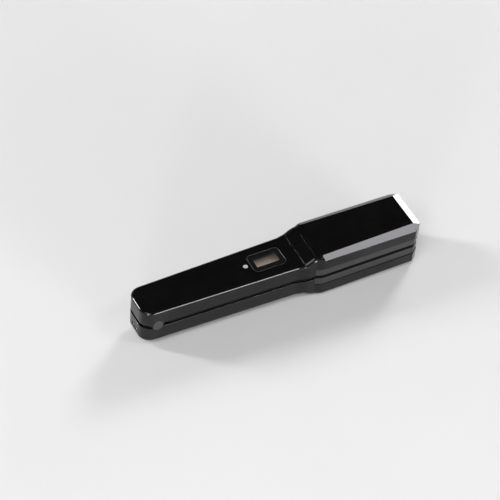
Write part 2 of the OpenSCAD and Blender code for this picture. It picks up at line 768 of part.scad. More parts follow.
module opening_spring() color("#aab0b6") {
    n = 16;
    steps = torsion_turns * n + n / 2;
    coil = [for (k = [0 : steps])
        [hinge_x, mix(-torsion_half_y, torsion_half_y, k / steps), 0] + torsion_r * spin(k, n)];
    leg = [bracket_l - 0.5, 0, 0];
    path = concat([coil[0] + leg, coil[0] + leg / 2], coil, [coil[steps] + leg / 2, coil[steps] + leg]);
    refs = concat([spin(0, n), spin(0, n)], [for (k = [0 : steps]) spin(k, n)],
                  [spin(steps, n), spin(steps, n)]);
    wire(path, refs, torsion_wire_d, 6);
}

module hinge_wires() color("#2d4a8a") {
    y = battery_w / 2 - 0.4;
    x = bracket_end_x + 0.9;
    bend = 2.6;
    z = 6;
    side_path = [[cell_x - 0.5, 0, z], [mix(x + bend, cell_x, 0.5), 0, z], [x + bend, 0, z],
                 [x + 0.8, 0, z - 0.8], [x, 0, z - bend]];
    down = flip([for (p = side_path) [p[0], 0, -p[2]]]);
    path = concat(side_path, [[x - 0.3, 0, 0]], down);
    both_sides(y) wire(path, [for (p = path) [0, 1, 0]], 1, tube_sides);
}

// ---- lock ----

module lock_slider() color("#1d1d1f") {
    x0 = lock_x - lock_post_l / 2;
    x1 = lock_x + lock_post_l / 2;
    block(x0, x1, lock_post_w / 2, -handle_t - seat_gap, hook_z + hook_t);
    block(x0, x1 + hook_l, lock_post_w / 2, hook_z, hook_z + hook_t);
    block(x0 - lock_flange_l, x1 + lock_flange_l, lock_post_w / 2 + lock_flange_w,
          -ceiling_z + seat_gap, -ceiling_z + seat_gap + lock_flange_t);
    block(lock_x - thumb_l / 2, lock_x + thumb_l / 2, thumb_w / 2, -handle_t - seat_gap - thumb_t,
          -handle_t - seat_gap);
    for (k = [-2 : 2])
        block(lock_x + rib_pitch * k - rib_w / 2, lock_x + rib_pitch * k + rib_w / 2, thumb_w / 2 - rib_w,
              -handle_t - seat_gap - thumb_t - rib_t, -handle_t - seat_gap - thumb_t);
}

// ---- plates and heaters ----

module plate() color("#3a3431") {
    c = plate_chamfer;
    w = plate_w / 2;
    translate([plate_x0, 0, 0]) rotate([90, 0, 90]) linear_extrude(plate_l)
        polygon([[-w, flange_z], [-w, plate_gap + c], [c - w, plate_gap], [w - c, plate_gap],
                 [w, plate_gap + c], [w, flange_z]]);
    block(plate_x0 - flange_w, plate_x1 + flange_w, w + flange_w, flange_z, flange_z + flange_t);
}

module heater() color("#e6e1d6")
    block(plate_mid_x - heater_l / 2, plate_mid_x + heater_l / 2, heater_w / 2, heater_z, heater_z + heater_t);

module heater_clamp() color("#9ea3a8") {
    x0 = plate_mid_x - clamp_l / 2;
    x1 = plate_mid_x + clamp_l / 2;
    inner = heater_w / 2 + seat_gap;
    block(x0, x1, inner + clamp_t, clamp_z, clamp_z + clamp_t);
    for (side = [0, 1]) mirror([0, side, 0])
        translate([x0, inner, heater_z]) cube([x1 - x0, clamp_t, clamp_z - heater_z]);
}

module thermal_fuse() color("#c9b37a") {
    z = clamp_z + clamp_t + seat_gap + fuse_d / 2;
    translate([plate_mid_x - fuse_l / 2, 0, z]) rotate([0, 90, 0]) cylinder(d = fuse_d, h = fuse_l);
    translate([plate_mid_x - fuse_l, 0, z]) rotate([0, 90, 0]) cylinder(d = 0.8, h = 2 * fuse_l);
}

module plate_springs() color("#aab0b6") {
    n = 12;
    steps = spring_turns * n;
    out = [for (k = [0 : steps]) [cos(360 * k / n), sin(360 * k / n), 0]];
    z0 = clamp_z + clamp_t + spring_wire_d / 2 + seat_gap;
    z1 = head_ceiling_z - spring_wire_d / 2 - 2 * seat_gap;
    for (sx = [-1, 1]) {
        centre = [plate_mid_x + sx * spring_pitch / 2, 0, 0];
        path = [for (k = [0 : steps]) centre + spring_d / 2 * out[k]
            + [0, 0, mix(z0, z1, clamp01((k - n) / (steps - 2 * n)))]];
        wire(path, out, spring_wire_d, 6);
    }
}

// ---- charging ----

// Rounded slot outline, grown by gap, extruded along X from the origin
module socket_outline(gap, l) {
    r = socket_h / 2 + gap;
    rotate([90, 0, 90]) linear_extrude(l) {
        square([socket_w - socket_h, 2 * r], center = true);
        for (side = [-1, 1]) translate([side * (socket_w - socket_h) / 2, 0]) circle(r);
    }
}

module charge_socket() color("#b8bcc1") lower()
    translate([0.4, 0, socket_z - socket_h / 2]) {
        difference() {
            socket_outline(0, socket_l);
            translate([-over, 0, 0]) socket_outline(-socket_wall, socket_l);
        }
        block(socket_tongue_t, socket_l - socket_wall, socket_tongue_w / 2,
              -socket_tongue_t / 2, socket_tongue_t / 2);
    }

module charge_board() color("#14532d") lower()
    block(wall + 1.2, bracket_end_x + 0.8, ear_y - 1, base_z - seat_gap - board_t, base_z - seat_gap);

// ---- the assembly ----

in_frame() upper_handle_shell();
in_frame() upper_inner_cover();
in_frame() neck_collar();  // upper_neck_collar
in_frame() head_cover();  // upper_head_cover
in_frame() plate_carrier();  // upper_plate_carrier
in_frame() display_bezel();
in_frame() display_window();
in_frame() lcd_module();
in_frame() led_lens();
in_frame() display_board();
in_frame() tact_switches();
in_frame() power_button();
in_frame() plus_button();
in_frame() minus_button();
in_frame() battery_cell();  // upper_battery_cell
in_frame() lead_wires();  // upper_lead_wires
in_frame() shell_screws();  // upper_shell_screws
in_frame() head_screw_set();  // upper_head_screws
in_frame() upper_hinge_bracket();
in_frame() hinge_bushes();
in_frame() plate();  // upper_plate
in_frame() heater();  // upper_heater
in_frame() heater_clamp();  // upper_heater_clamp
in_frame() thermal_fuse();  // upper_thermal_fuse
in_frame() plate_springs();  // upper_plate_springs
in_frame() lower() lower_handle_shell();
in_frame() lower() lower_inner_cover();
in_frame() lower() neck_collar();  // lower_neck_collar
in_frame() lower() head_cover();  // lower_head_cover
in_frame() lower() plate_carrier();  // lower_plate_carrier
in_frame() lower() battery_cell();  // lower_battery_cell
in_frame() lower() lead_wires();  // lower_lead_wires
in_frame() lower() shell_screws();  // lower_shell_screws
in_frame() lower() head_screw_set();  // lower_head_screws
in_frame() lower_hinge_bracket();
in_frame() hinge_pin();
in_frame() hinge_caps();
in_frame() opening_spring();
in_frame() hinge_wires();
in_frame() charge_board();
in_frame() charge_socket();
in_frame() power_board();
in_frame() lock_slider();
in_frame() lower() plate();  // lower_plate
in_frame() lower() heater();  // lower_heater
in_frame() lower() heater_clamp();  // lower_heater_clamp
in_frame() lower() thermal_fuse();  // lower_thermal_fuse
in_frame() lower() plate_springs();  // lower_plate_springs
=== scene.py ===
"""Looks of a cordless hair straightener: two hinged arms in gloss black, with floating heated plates.

Lengths named below are in millimetres in the arm frame of the part's source: X from the rear end to the
tip, Y across, Z up from the plane between the closed arms. row() takes them into the row frame, in metres.
"""
import json
import math

import bmesh
import bpy
from mathutils import Matrix, Vector
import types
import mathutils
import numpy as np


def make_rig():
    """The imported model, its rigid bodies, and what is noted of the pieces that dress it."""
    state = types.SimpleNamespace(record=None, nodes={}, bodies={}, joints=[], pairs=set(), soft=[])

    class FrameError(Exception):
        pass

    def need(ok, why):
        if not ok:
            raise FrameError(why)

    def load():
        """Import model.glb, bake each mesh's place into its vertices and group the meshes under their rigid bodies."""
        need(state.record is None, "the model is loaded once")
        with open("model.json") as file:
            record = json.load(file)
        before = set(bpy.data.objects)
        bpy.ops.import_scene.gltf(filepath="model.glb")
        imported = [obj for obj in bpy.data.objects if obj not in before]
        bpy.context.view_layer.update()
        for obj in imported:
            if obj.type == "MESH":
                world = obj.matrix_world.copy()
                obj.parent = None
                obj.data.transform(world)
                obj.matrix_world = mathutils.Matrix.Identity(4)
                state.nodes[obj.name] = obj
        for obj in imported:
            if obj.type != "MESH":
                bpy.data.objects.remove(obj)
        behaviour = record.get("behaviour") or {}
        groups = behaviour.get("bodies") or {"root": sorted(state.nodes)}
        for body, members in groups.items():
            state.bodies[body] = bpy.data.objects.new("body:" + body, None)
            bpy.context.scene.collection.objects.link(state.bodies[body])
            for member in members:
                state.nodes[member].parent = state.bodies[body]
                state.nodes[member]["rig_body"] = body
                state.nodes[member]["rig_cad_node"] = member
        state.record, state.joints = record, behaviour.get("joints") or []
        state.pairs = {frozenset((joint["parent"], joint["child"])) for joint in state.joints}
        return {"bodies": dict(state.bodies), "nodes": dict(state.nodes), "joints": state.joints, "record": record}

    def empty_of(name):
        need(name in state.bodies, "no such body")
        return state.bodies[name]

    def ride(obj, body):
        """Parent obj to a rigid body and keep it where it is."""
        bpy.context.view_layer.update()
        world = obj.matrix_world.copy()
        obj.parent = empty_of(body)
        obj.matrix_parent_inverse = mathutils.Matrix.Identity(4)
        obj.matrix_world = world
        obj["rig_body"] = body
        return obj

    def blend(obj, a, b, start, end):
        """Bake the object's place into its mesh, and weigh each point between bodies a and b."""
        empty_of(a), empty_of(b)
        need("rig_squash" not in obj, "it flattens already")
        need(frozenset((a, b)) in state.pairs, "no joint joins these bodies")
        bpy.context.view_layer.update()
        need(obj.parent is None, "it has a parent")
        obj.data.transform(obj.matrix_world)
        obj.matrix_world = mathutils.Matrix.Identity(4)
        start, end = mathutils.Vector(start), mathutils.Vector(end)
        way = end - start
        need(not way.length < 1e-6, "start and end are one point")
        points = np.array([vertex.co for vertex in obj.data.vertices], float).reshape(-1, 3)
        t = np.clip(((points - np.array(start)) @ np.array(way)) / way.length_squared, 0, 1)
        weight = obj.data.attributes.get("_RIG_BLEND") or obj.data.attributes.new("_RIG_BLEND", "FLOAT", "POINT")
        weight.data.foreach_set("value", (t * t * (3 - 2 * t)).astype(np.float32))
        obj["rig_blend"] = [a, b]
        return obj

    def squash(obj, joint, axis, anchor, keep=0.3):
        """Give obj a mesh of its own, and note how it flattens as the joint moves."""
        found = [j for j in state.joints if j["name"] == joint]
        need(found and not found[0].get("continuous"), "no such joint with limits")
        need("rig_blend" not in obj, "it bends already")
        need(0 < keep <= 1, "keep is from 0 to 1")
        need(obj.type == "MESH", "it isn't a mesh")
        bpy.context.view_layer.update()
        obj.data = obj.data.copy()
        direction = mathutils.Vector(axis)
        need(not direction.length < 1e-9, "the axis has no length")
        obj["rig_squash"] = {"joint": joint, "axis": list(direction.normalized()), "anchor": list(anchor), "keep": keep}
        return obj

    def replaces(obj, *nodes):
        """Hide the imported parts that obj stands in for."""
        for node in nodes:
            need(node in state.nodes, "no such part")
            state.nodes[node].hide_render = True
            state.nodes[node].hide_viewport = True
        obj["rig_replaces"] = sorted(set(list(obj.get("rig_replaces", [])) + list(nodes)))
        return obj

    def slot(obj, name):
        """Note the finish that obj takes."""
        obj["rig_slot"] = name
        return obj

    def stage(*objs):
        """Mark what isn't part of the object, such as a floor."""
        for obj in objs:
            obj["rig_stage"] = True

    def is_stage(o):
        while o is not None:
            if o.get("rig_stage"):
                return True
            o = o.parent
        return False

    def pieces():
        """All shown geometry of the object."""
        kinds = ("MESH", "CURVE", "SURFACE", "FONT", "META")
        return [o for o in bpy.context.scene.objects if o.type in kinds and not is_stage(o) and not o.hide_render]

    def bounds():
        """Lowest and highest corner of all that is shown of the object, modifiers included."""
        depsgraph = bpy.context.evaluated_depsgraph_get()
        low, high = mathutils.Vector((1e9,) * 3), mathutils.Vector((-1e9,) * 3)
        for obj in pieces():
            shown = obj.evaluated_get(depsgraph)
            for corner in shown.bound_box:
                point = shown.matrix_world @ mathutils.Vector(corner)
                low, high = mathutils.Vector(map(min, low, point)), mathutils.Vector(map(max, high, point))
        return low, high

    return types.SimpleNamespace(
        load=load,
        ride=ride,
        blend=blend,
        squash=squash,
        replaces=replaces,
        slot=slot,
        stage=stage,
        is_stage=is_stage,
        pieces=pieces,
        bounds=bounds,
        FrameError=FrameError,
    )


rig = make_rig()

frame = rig.load()
CAD_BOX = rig.bounds()

# ---- lengths of the part's source ----
LENGTH, HEAD_T, HANDLE_T = 230, 20, 15
FACE_Z = 1.5
REAR_W, NECK_W, REAR_R, EDGE_R = 29.2, 34.8, 9, 2
WALL, HEAD_WALL = 1.6, 1.8
HEAD_W, TIP_W = 42.8, 33.2
COLLAR_W, WIDEN_LEN, RISE_LEN, SHOULDER_R, SHOULDER_LEN = 39, 11, 13, 4.1, 5
TOP_REAR_W, TOP_FRONT_W = 34.6, 31.5
BEVEL_REAR_DROP, BEVEL_FRONT_DROP = 2.6, 3.9
END_LEN, END_DROP, TIP_BREAK = 5.6, 1.4, 0.4
SEAM_X, COLLAR_X, NECK_X, RISE_X = 140, 131.2, 124, 128
BEVEL_X, BEVEL_START, BEVEL_LEAD, END_X = 146, 6, 1.5, 224.4
CARRIER_Z = 7.9
HINGE_X, CAP_D, CAP_IN_Y = 12, 9, 12.8
DISPLAY_X, DISPLAY_L, DISPLAY_W, DISPLAY_R = 107.5, 27.2, 18.1, 4
WINDOW_T = 1.4
LED_X, LED_D = 90.1, 3.5
LOCK_X, LOCK_POST_L, LOCK_POST_W, LOCK_TRAVEL = 25.5, 3, 4, 4
SOCKET_Z, SOCKET_W, SOCKET_H = -9.4, 8.9, 3.2
SEAT_GAP, SLIDE_GAP = 0.1, 0.3
PLATE_TRAVEL = 1
BUTTON_PITCH, BUTTON_Z = 10, 1.0
SHELL_SCREWS = [(24, 8), (88.85, 9), (127.5, 11)]
HEAD_SCREWS = [(145.5, 11), (226.1, 9)]
SCREW_D, SCREW_HEAD_D, SCREW_HEAD_T, SCREW_L = 2.2, 4, 0.9, 6

EDGE_N = 8          # facets across a rounded edge
ACROSS = 10         # strips across the handle's flat top
UP, DOWN = 1, -1    # the upper arm, and the lower arm mirrored from it


def row(p):
    return Vector(((p[0] - LENGTH / 2) / 1000, p[1] / 1000, (p[2] + HEAD_T) / 1000))


def mix(a, b, u):
    return a + (b - a) * u


def clamp01(u):
    return min(max(u, 0), 1)


def ease(u):
    u = clamp01(u)
    return u * u * (3 - 2 * u)


# ---- the arm's outside, as in the part's source ----

def full_half_w(x):
    handle = mix(REAR_W, NECK_W, x / NECK_X) / 2
    neck = mix(handle, COLLAR_W / 2, ease((x - NECK_X) / WIDEN_LEN))
    return mix(neck, HEAD_W / 2, ease((x - SEAM_X) / BEVEL_START))


def arm_top(x):
    return mix(HANDLE_T, HEAD_T, ease((x - RISE_X) / RISE_LEN))


def along_bevel(x):
    return clamp01((x - BEVEL_X) / (END_X - BEVEL_X))


def round_r(x):
    """Radius of the long edges behind the side bevels."""
    return mix(EDGE_R, SHOULDER_R, ease((x - RISE_X) / SHOULDER_LEN))


def round_edge(r):
    """Points across a rounded edge: how far in from the side, and how far below the top."""
    angles = [math.radians(90 * k / EDGE_N) for k in range(EDGE_N + 1)]
    return [(r * (1 - math.cos(a)), r * (1 - math.sin(a))) for a in angles]


def bevel_edge(run, drop, broken):
    """The same count of points across a flat bevel whose two corners are rounded to radius broken."""
    tilt = math.atan2(run, drop)
    low, high = broken * math.tan(tilt / 2), broken * math.tan((math.pi / 2 - tilt) / 2)
    half = EDGE_N // 2
    out = []
    for k in range(half):
        a = tilt * k / (half - 1)
        out.append((broken * (1 - math.cos(a)), drop + low - broken * math.sin(a)))
    out.append((run / 2, drop / 2))
    for k in range(half):
        a = tilt + (math.pi / 2 - tilt) * k / (half - 1)
        out.append((run + high - broken * math.cos(a), broken * (1 - math.sin(a))))
    return out


# ---- mesh helpers ----

def new_object(name, mesh, material):
    ob = bpy.data.objects.new(name, mesh)
    bpy.context.scene.collection.objects.link(ob)
    mesh.materials.clear()
    mesh.materials.append(material)
    return ob


def mesh_object(name, verts, faces, material, side=UP):
    """Object from arm-frame points. side DOWN mirrors them into the lower arm."""
    mesh = bpy.data.meshes.new(name)
    mesh.from_pydata([row((x, y, z * side)) for x, y, z in verts], [], faces)
    tidy_mesh(mesh)
    return new_object(name, mesh, material)


def tidy_mesh(mesh, weld=1e-7):
    bm = bmesh.new()
    bm.from_mesh(mesh)
    bmesh.ops.remove_doubles(bm, verts=bm.verts, dist=weld)
    bmesh.ops.recalc_face_normals(bm, faces=bm.faces)
    bm.to_mesh(mesh)
    bm.free()
    mesh.update()


def apply_modifiers(ob):
    depsgraph = bpy.context.evaluated_depsgraph_get()
    mesh = bpy.data.meshes.new_from_object(ob.evaluated_get(depsgraph))
    old, name = ob.data, ob.data.name
    ob.modifiers.clear()
    ob.data = mesh
    bpy.data.meshes.remove(old)
    mesh.name = name


def solidify(ob, thickness):
    m = ob.modifiers.new("wall", "SOLIDIFY")
    m.thickness = thickness / 1000
    m.offset = -1
    m.use_even_offset = True
    apply_modifiers(ob)


def cut(ob, cutters):
    for c in cutters:
        m = ob.modifiers.new("cut", "BOOLEAN")
        m.operation = "DIFFERENCE"
        m.solver = "EXACT"
        m.object = c
    apply_modifiers(ob)
    for c in cutters:
        bpy.data.objects.remove(c)


def bevel(ob, width, segments):
    m = ob.modifiers.new("bevel", "BEVEL")
    m.width = width / 1000
    m.segments = segments
    m.limit_method = "ANGLE"
    m.angle_limit = math.radians(30)
    m.use_clamp_overlap = True
    apply_modifiers(ob)


def smooth(ob, angle=32):
    """Smooth shading, with edges sharper than angle kept sharp."""
    ob.data.shade_smooth()
    ob.data.set_sharp_from_angle(angle=math.radians(angle))
    m = ob.modifiers.new("normals", "WEIGHTED_NORMAL")
    m.keep_sharp = True
    m.weight = 90
    return ob


def finish_piece(ob, body, slot, *nodes):
    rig.ride(ob, body)
    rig.slot(ob, slot)
    if nodes:
        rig.replaces(ob, *nodes)
    return ob


def loft_faces(count, rings, closed=True):
    span = count if closed else count - 1
    return [(j * count + k, j * count + (k + 1) % count, (j + 1) * count + (k + 1) % count, (j + 1) * count + k)
            for j in range(rings - 1) for k in range(span)]


def closed_faces(count, rings=2):
    """Faces through closed rings, with the first and the last ring filled."""
    last = (rings - 1) * count
    return loft_faces(count, rings) + [tuple(range(count)), tuple(range(last + count - 1, last - 1, -1))]


def prism(name, outline, z0, z1, material):
    """Solid between two heights from one closed outline of (x, y)."""
    verts = [(x, y, z) for z in (z0, z1) for x, y in outline]
    return mesh_object(name, verts, closed_faces(len(outline)), material)


def circle(cx, cy, r, n=48):
    return [(cx + r * math.cos(2 * math.pi * k / n), cy + r * math.sin(2 * math.pi * k / n)) for k in range(n)]


def box_outline(x0, x1, half_y):
    return [(x0, -half_y), (x1, -half_y), (x1, half_y), (x0, half_y)]


def round_rect(cx, length, width, r, n=8):
    pts = []
    for sx, sy, a0 in ((1, 1, 0), (-1, 1, 90), (-1, -1, 180), (1, -1, 270)):
        for k in range(n + 1):
            a = math.radians(a0 + 90 * k / n)
            pts.append((cx + sx * (length / 2 - r) + r * math.cos(a), sy * (width / 2 - r) + r * math.sin(a)))
    return pts


def cross_cylinder(name, x, z, r, y0, y1, material, n=48):
    """Cylinder along Y."""
    ring = [(x + r * math.cos(2 * math.pi * k / n), z + r * math.sin(2 * math.pi * k / n)) for k in range(n)]
    verts = [(px, y, pz) for y in (y0, y1) for px, pz in ring]
    return mesh_object(name, verts, closed_faces(n), material)


def lathe(profile, n=48):
    """Rings of (radius, height) round the Z axis, with the first and last radius closed by a face."""
    verts = [(r * math.cos(2 * math.pi * k / n), r * math.sin(2 * math.pi * k / n), z)
             for r, z in profile for k in range(n)]
    return verts, closed_faces(n, len(profile))


def moved(verts, x, y, z):
    return [(vx + x, vy + y, vz + z) for vx, vy, vz in verts]


def joined(parts):
    """One list of points and faces from several."""
    verts, faces = [], []
    for v, f in parts:
        faces += [tuple(i + len(verts) for i in face) for face in f]
        verts += v
    return verts, faces


# ---- materials ----

def colour_of(rgb):
    return (*rgb, 1)


class Nodes:
    """Short names for the nodes that the materials share."""

    def __init__(self, name):
        self.material = bpy.data.materials.new(name)
        self.material.use_nodes = True
        self.tree = self.material.node_tree
        self.shader = self.tree.nodes["Principled BSDF"]
        self.coord = self.tree.nodes.new("ShaderNodeTexCoord").outputs["Object"]

    def link(self, a, b):
        self.tree.links.new(a, b)

    def noise(self, scale, detail=3, stretch=(1, 1, 1), distortion=0.0):
        mapping = self.tree.nodes.new("ShaderNodeMapping")
        mapping.inputs["Scale"].default_value = stretch
        noise = self.tree.nodes.new("ShaderNodeTexNoise")
        noise.inputs["Scale"].default_value = scale
        noise.inputs["Detail"].default_value = detail
        noise.inputs["Distortion"].default_value = distortion
        self.link(self.coord, mapping.inputs["Vector"])
        self.link(mapping.outputs["Vector"], noise.inputs["Vector"])
        return noise.outputs["Fac"]

    def spread(self, value, low, high, start=0.3, end=0.7):
        """value, from start to end, taken to low to high."""
        node = self.tree.nodes.new("ShaderNodeMapRange")
        node.inputs["From Min"].default_value = start
        node.inputs["From Max"].default_value = end
        node.inputs["To Min"].default_value = low
        node.inputs["To Max"].default_value = high
        self.link(value, node.inputs["Value"])
        return node.outputs["Result"]

    def math(self, operation, a, b):
        node = self.tree.nodes.new("ShaderNodeMath")
        node.operation = operation
        for k, v in enumerate((a, b)):
            if isinstance(v, (int, float)):
                node.inputs[k].default_value = v
            else:
                self.link(v, node.inputs[k])
        return node.outputs["Value"]

    def blend(self, fac, a, b):
        node = self.tree.nodes.new("ShaderNodeMix")
        node.data_type = "RGBA"
        for socket, v in ((node.inputs[6], a), (node.inputs[7], b)):
            if isinstance(v, tuple):
                socket.default_value = colour_of(v)
            else:
                self.link(v, socket)
        self.link(fac, node.inputs["Factor"])
        return node.outputs[2]

    def bump(self, height, distance, strength=1.0, onto=None):
        node = self.tree.nodes.new("ShaderNodeBump")
        node.inputs["Strength"].default_value = strength
        node.inputs["Distance"].default_value = distance / 1000
        self.link(height, node.inputs["Height"])
        if onto:
            self.link(onto, node.inputs["Normal"])
        return node.outputs["Normal"]

    def set(self, **sockets):
        """Sockets of the shader by name, with _ for a space: a number or colour is set, an output is linked."""
        for key, v in sockets.items():
            socket = self.shader.inputs[key.replace("_", " ")]
            if isinstance(v, tuple):
                socket.default_value = colour_of(v)
            elif isinstance(v, (int, float)):
                socket.default_value = v
            else:
                self.link(v, socket)
        return self.material


def gloss_plastic(name, dark, light, rough=(0.05, 0.13), ior=1.5):
    """Polished moulding: faint orange peel, hairline scratches and handling haze."""
    n = Nodes(name)
    haze = n.noise(55, 4, distortion=0.6)
    hair = n.noise(900, 2, stretch=(0.06, 1, 1))
    peel = n.bump(n.noise(420, 2), 0.0035, 0.35)
    scratched = n.bump(n.spread(hair, 0, 1, 0.62, 0.75), 0.0008, 0.25, onto=peel)
    roughness = n.math("ADD", n.spread(haze, rough[0], rough[1]), n.spread(hair, 0, 0.05, 0.6, 0.8))
    return n.set(Base_Color=n.blend(n.spread(haze, 0, 1), dark, light), Roughness=roughness,
                 Normal=scratched, IOR=ior)


def satin_plastic(name, dark, light, rough=(0.38, 0.55), grain=2600, depth=0.012):
    """Spark-eroded moulding: a fine even grain, with worn, shinier patches."""
    n = Nodes(name)
    wear = n.noise(70, 4)
    fine = n.noise(grain, 2)
    return n.set(Base_Color=n.blend(n.spread(fine, 0, 1), dark, light),
                 Roughness=n.math("ADD", n.spread(wear, rough[0], rough[1]), n.spread(fine, -0.04, 0.04)),
                 Normal=n.bump(fine, depth, 0.5))


def metal(name, dark, light, rough=(0.2, 0.38), stretch=(0.05, 1, 1), scale=1400, depth=0.002):
    """Drawn, ground or plated metal, with its grain along X unless told otherwise."""
    n = Nodes(name)
    grain = n.noise(scale, 3, stretch=stretch)
    stain = n.noise(120, 4)
    return n.set(Base_Color=n.blend(n.spread(stain, 0, 1), dark, light), Metallic=1.0,
                 Roughness=n.math("ADD", n.spread(grain, rough[0], rough[1]), n.spread(stain, -0.03, 0.05)),
                 Normal=n.bump(grain, depth, 0.4))


def circuit_board(name):
    """Solder mask with buried tracks and bare pads."""
    n = Nodes(name)
    brick = n.tree.nodes.new("ShaderNodeTexBrick")
    brick.inputs["Scale"].default_value = 220
    brick.inputs["Mortar Size"].default_value = 0.012
    brick.inputs["Color1"].default_value = colour_of((0.012, 0.085, 0.03))
    brick.inputs["Color2"].default_value = colour_of((0.014, 0.1, 0.036))
    brick.inputs["Mortar"].default_value = colour_of((0.03, 0.16, 0.06))
    n.link(n.coord, brick.inputs["Vector"])
    pads = n.spread(n.noise(620, 0), 0, 1, 0.68, 0.7)
    return n.set(Base_Color=n.blend(pads, brick.outputs["Color"], (0.72, 0.62, 0.36)),
                 Roughness=n.spread(n.noise(200, 2), 0.28, 0.45), Normal=n.bump(brick.outputs["Fac"], 0.02, 0.5))


def liquid_crystal(name):
    """Unlit reflective cell: warm grey, with painted shade that darkens it towards the far side and the tip, and the
    faint dots of its matrix.
    """
    n = Nodes(name)
    split = n.tree.nodes.new("ShaderNodeSeparateXYZ")
    n.link(n.coord, split.inputs["Vector"])
    # Painted shade: the warm grey darkens to near black towards the far side and to dark grey towards the tip, standing
    # in for the shade of the recess round the cell.
    far_side_painted_shade = n.spread(split.outputs["Y"], 0, 1, -0.004, 0.0035)
    tip_painted_shade = n.spread(split.outputs["X"], 0, 0.85, -0.0065, 0.0022)
    across = n.blend(far_side_painted_shade, (0.35, 0.293, 0.246), (0.006, 0.0059, 0.0058))
    ground = n.blend(tip_painted_shade, across, (0.026, 0.026, 0.0255))
    dots = n.tree.nodes.new("ShaderNodeTexVoronoi")
    dots.inputs["Scale"].default_value = 2400
    dots.inputs["Randomness"].default_value = 0
    n.link(n.coord, dots.inputs["Vector"])
    matrix = n.spread(dots.outputs["Distance"], 0, 1, 0.25, 0.6)
    dotted = n.blend(n.spread(matrix, 0.35, 0, 0, 1), ground, (0.02, 0.02, 0.02))
    return n.set(Base_Color=dotted,
                 Roughness=n.spread(n.noise(160, 3), 0.1, 0.2), Coat_Weight=0.4, Coat_Roughness=0.05,
                 Normal=n.bump(n.noise(300, 2), 0.002, 0.2))


def frosted(name, dark, light, rough=(0.25, 0.4)):
    n = Nodes(name)
    cloud = n.noise(500, 3)
    return n.set(Base_Color=n.blend(n.spread(cloud, 0, 1), dark, light), Roughness=n.spread(cloud, *rough),
                 Subsurface_Weight=0.3, Subsurface_Scale=0.001, Normal=n.bump(n.noise(1500, 2), 0.004, 0.3))


def foil(name):
    """Wrapped pouch cell: creased aluminium foil."""
    n = Nodes(name)
    crease = n.noise(260, 5, distortion=1.5)
    return n.set(Base_Color=n.blend(n.spread(crease, 0, 1), (0.50, 0.52, 0.54), (0.68, 0.69, 0.70)), Metallic=1.0,
                 Roughness=n.spread(crease, 0.25, 0.5), Normal=n.bump(crease, 0.06, 0.6))


def fired_ceramic(name):
    n = Nodes(name)
    speck = n.noise(1800, 3)
    return n.set(Base_Color=n.blend(n.spread(speck, 0, 1), (0.70, 0.67, 0.60), (0.84, 0.82, 0.77)),
                 Roughness=n.spread(n.noise(300, 3), 0.5, 0.75), Normal=n.bump(speck, 0.02, 0.5))


def plate_coating(name):
    """Dark ceramic coating on ground aluminium: fine lines along the plate and a soft sheen."""
    n = Nodes(name)
    lines = n.noise(1600, 3, stretch=(0.03, 1, 1))
    fleck = n.noise(5200, 1)
    tone = n.blend(n.spread(lines, 0, 1), (0.030, 0.027, 0.026), (0.055, 0.049, 0.046))
    return n.set(Base_Color=n.blend(n.spread(fleck, 0, 0.5, 0.66, 0.72), tone, (0.22, 0.20, 0.18)), Metallic=0.6,
                 Roughness=n.spread(lines, 0.16, 0.3), Normal=n.bump(lines, 0.002, 0.4))


GLOSS = gloss_plastic("gloss_black", (0.0020, 0.0020, 0.0022), (0.0034, 0.0033, 0.0031), (0.055, 0.085), 1.42)
MATERIALS = {
    "gloss_black": GLOSS,
    "satin_black": satin_plastic("satin_black", (0.016, 0.016, 0.0165), (0.024, 0.024, 0.0245)),
    "carrier_black": satin_plastic("carrier_black", (0.011, 0.011, 0.0115), (0.018, 0.018, 0.0185), (0.3, 0.45)),
    "button_black": satin_plastic("button_black", (0.020, 0.020, 0.021), (0.030, 0.030, 0.031), (0.3, 0.42), 3200),
    "bezel_grey": gloss_plastic("bezel_grey", (0.012, 0.0125, 0.014), (0.018, 0.0185, 0.020), (0.3, 0.4), 1.4),
    "window_grey": gloss_plastic("window_grey", (0.0058, 0.0058, 0.0062), (0.0078, 0.0078, 0.0082), (0.04, 0.08)),
    "lcd_grey": liquid_crystal("lcd_grey"),
    "lens_white": frosted("lens_white", (0.44, 0.44, 0.435), (0.52, 0.52, 0.515)),
    "board_green": circuit_board("board_green"),
    "switch_dark": satin_plastic("switch_dark", (0.05, 0.05, 0.054), (0.07, 0.07, 0.075)),
    "foil_grey": foil("foil_grey"),
    "wire_red": satin_plastic("wire_red", (0.45, 0.035, 0.025), (0.55, 0.05, 0.04), (0.4, 0.5), 1200),
    "wire_blue": satin_plastic("wire_blue", (0.035, 0.08, 0.28), (0.05, 0.10, 0.34), (0.4, 0.5), 1200),
    "steel": metal("steel", (0.50, 0.51, 0.53), (0.60, 0.61, 0.62)),
    "bracket_steel": metal("bracket_steel", (0.23, 0.24, 0.26), (0.30, 0.31, 0.33), (0.35, 0.55)),
    "spring_steel": metal("spring_steel", (0.52, 0.53, 0.54), (0.63, 0.63, 0.64), (0.18, 0.3), (1, 1, 1), 900),
    "bush_bronze": metal("bush_bronze", (0.62, 0.44, 0.20), (0.74, 0.55, 0.28), (0.3, 0.45), (1, 1, 1), 3000, 0.006),
    "plate_dark": plate_coating("plate_dark"),
    "ceramic_white": fired_ceramic("ceramic_white"),
    "clamp_alu": metal("clamp_alu", (0.56, 0.58, 0.60), (0.66, 0.67, 0.69), (0.3, 0.45)),
    "fuse_gold": metal("fuse_gold", (0.60, 0.50, 0.28), (0.72, 0.62, 0.38), (0.22, 0.34), (1, 1, 1)),
}
PRINT = satin_plastic("symbol_print", (0.55, 0.55, 0.54), (0.62, 0.62, 0.61), (0.45, 0.6), 2600, 0.004)

for entry in frame["record"]["subparts"]:
    mesh = frame["nodes"][entry["node"]].data
    mesh.materials.clear()
    mesh.materials.append(MATERIALS[entry["material_slot"]])


# ---- handle shells ----

